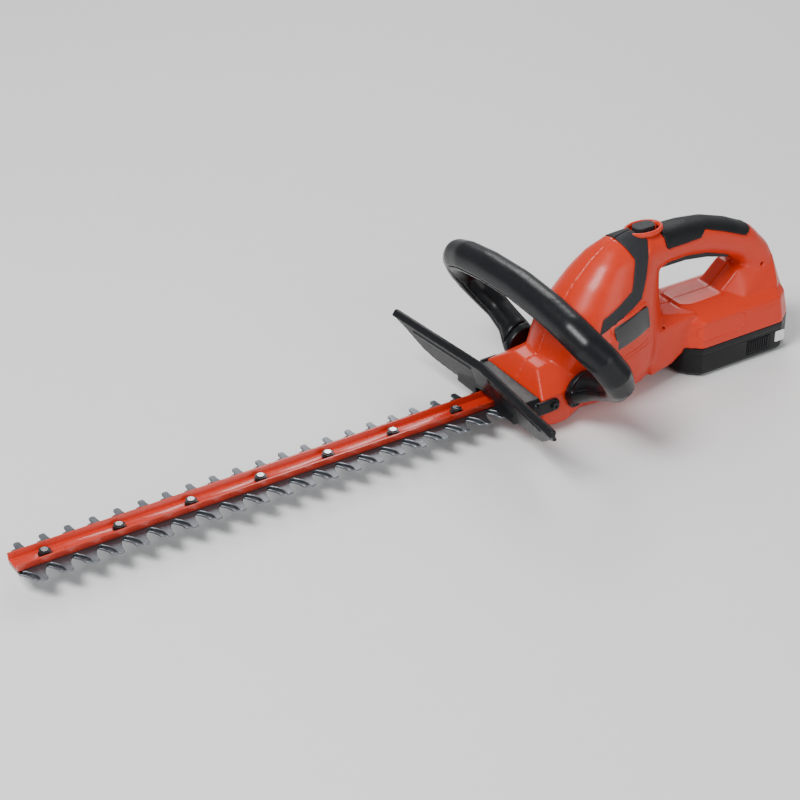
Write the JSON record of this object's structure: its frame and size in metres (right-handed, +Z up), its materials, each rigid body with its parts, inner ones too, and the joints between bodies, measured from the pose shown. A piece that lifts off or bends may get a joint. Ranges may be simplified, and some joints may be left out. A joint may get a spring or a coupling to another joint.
{
  "type": "cordless hedge trimmer",
  "caption": "Battery hedge trimmer with a toothed reciprocating blade on a red guide bar, a hand guard, a wrap-around front handle and a rear grip with trigger.",
  "frame": {"origin": "middle of the footprint, on the surface the tool rests on", "axes": "+X from the blade tip to the rear grip, +Y the user's right, +Z up"},
  "size_m": [0.777, 0.2574, 0.152],
  "materials": {
    "orange_shell": "satin moulded",
    "band_grey": "matte",
    "soft_black": "fine grain",
    "badge_black": "gloss",
    "screw_steel": "bright",
    "screw_black": "blackened",
    "black_plastic": "fine grain",
    "handle_black": "satin",
    "bar_red": "gloss paint",
    "plain_steel": "plain",
    "cast_alloy": "cast",
    "magnet": "dark",
    "bronze": "plain",
    "wire_red": "smooth",
    "gear_steel": "oiled",
    "armature": "varnished",
    "blade_steel": "ground",
    "cell_wrap": "shrink wrap",
    "label_white": "printed blank"
  },
  "bodies": {
    "housing": {"housing_left": "orange_shell", "housing_right": "orange_shell", "side_band_left": "band_grey", "side_band_right": "band_grey", "grip_cover": "soft_black", "badge_left": "badge_black", "badge_right": "badge_black", "housing_screws": "screw_steel", "guard": "black_plastic", "guard_screws": "screw_black", "bail_shell": "handle_black", "bail_cover": "handle_black", "bail_screws": "screw_black", "blade_bar": "bar_red", "blade_rail": "plain_steel", "guide_bolts": "screw_steel", "guide_nuts": "screw_black", "gearcase_base": "cast_alloy", "gearcase_cover": "cast_alloy", "gearcase_screws": "screw_steel", "motor_can": "plain_steel", "motor_magnets": "magnet", "motor_end_cap": "black_plastic", "lower_bush": "bronze", "upper_bush": "bronze", "brushes": "bronze", "trigger_pin": "screw_steel", "trigger_switch": "black_plastic", "trigger_spring": "screw_steel", "lock_spring": "screw_steel", "lead_wires": "wire_red", "terminal_block": "black_plastic", "terminal_blades": "bronze"},
    "gear": {"drive_gear": "gear_steel", "eccentrics": "gear_steel"},
    "rotor": {"pinion": "bronze", "armature_shaft": "screw_steel", "armature": "armature", "commutator": "bronze"},
    "upper_blade": {"upper_blade": "blade_steel"},
    "lower_blade": {"lower_blade": "blade_steel"},
    "trigger": {"trigger": "band_grey"},
    "lock_off": {"lock_off_button": "band_grey"},
    "battery": {"battery_tray": "black_plastic", "battery_lid": "black_plastic", "battery_cells": "cell_wrap", "cell_straps": "plain_steel", "battery_contacts": "bronze", "battery_label": "label_white"},
    "latch_left": {"latch_left": "black_plastic"},
    "latch_right": {"latch_right": "black_plastic"}
  },
  "joints": [
    {"name": "gear_turn", "type": "hinge", "parent": "housing", "child": "gear", "pos_m": [0.12838, 0, 0.026], "axis": [0, 0, 1], "range_deg": [-90, 90]},
    {"name": "rotor_turn", "type": "hinge", "parent": "housing", "child": "rotor", "pos_m": [0.1645, 0, 0.06], "axis": [0, 0, 1], "range_deg": [-450, 450]},
    {"name": "upper_blade_slide", "type": "slide", "parent": "housing", "child": "upper_blade", "axis": [1, 0, 0], "range_m": [-0.00801, 0.00801]},
    {"name": "lower_blade_slide", "type": "slide", "parent": "housing", "child": "lower_blade", "axis": [1, 0, 0], "range_m": [-0.00801, 0.00801]},
    {"name": "trigger_pull", "type": "hinge", "parent": "housing", "child": "trigger", "pos_m": [0.32294, 0, 0.103], "axis": [0, 1, 0], "range_deg": [0, 6], "stiffness_Nm_per_rad": 2, "springref_deg": -5.73, "deforming": ["trigger_spring"]},
    {"name": "lock_off_press", "type": "slide", "parent": "housing", "child": "lock_off", "axis": [0, 0, -1], "range_m": [0, 0.0025], "stiffness_N_per_m": 600, "springref_m": -0.003, "deforming": ["lock_spring"]},
    {"name": "battery_slide", "type": "slide", "parent": "housing", "child": "battery", "axis": [0, 0, -1], "range_m": [0, 0.06]},
    {"name": "latch_left_press", "type": "slide", "parent": "battery", "child": "latch_left", "axis": [0, 1, 0], "range_m": [0, 0.003], "stiffness_N_per_m": 800, "springref_m": -0.002},
    {"name": "latch_right_press", "type": "slide", "parent": "battery", "child": "latch_right", "axis": [0, -1, 0], "range_m": [0, 0.003], "stiffness_N_per_m": 800, "springref_m": -0.002}
  ],
  "couplings": [
    {"joint": "rotor_turn", "follows": "gear_turn", "ratio": -5},
    {"joint": "upper_blade_slide", "follows": "gear_turn", "m_per_rad": -0.005093},
    {"joint": "lower_blade_slide", "follows": "gear_turn", "m_per_rad": 0.005093}
  ]
}
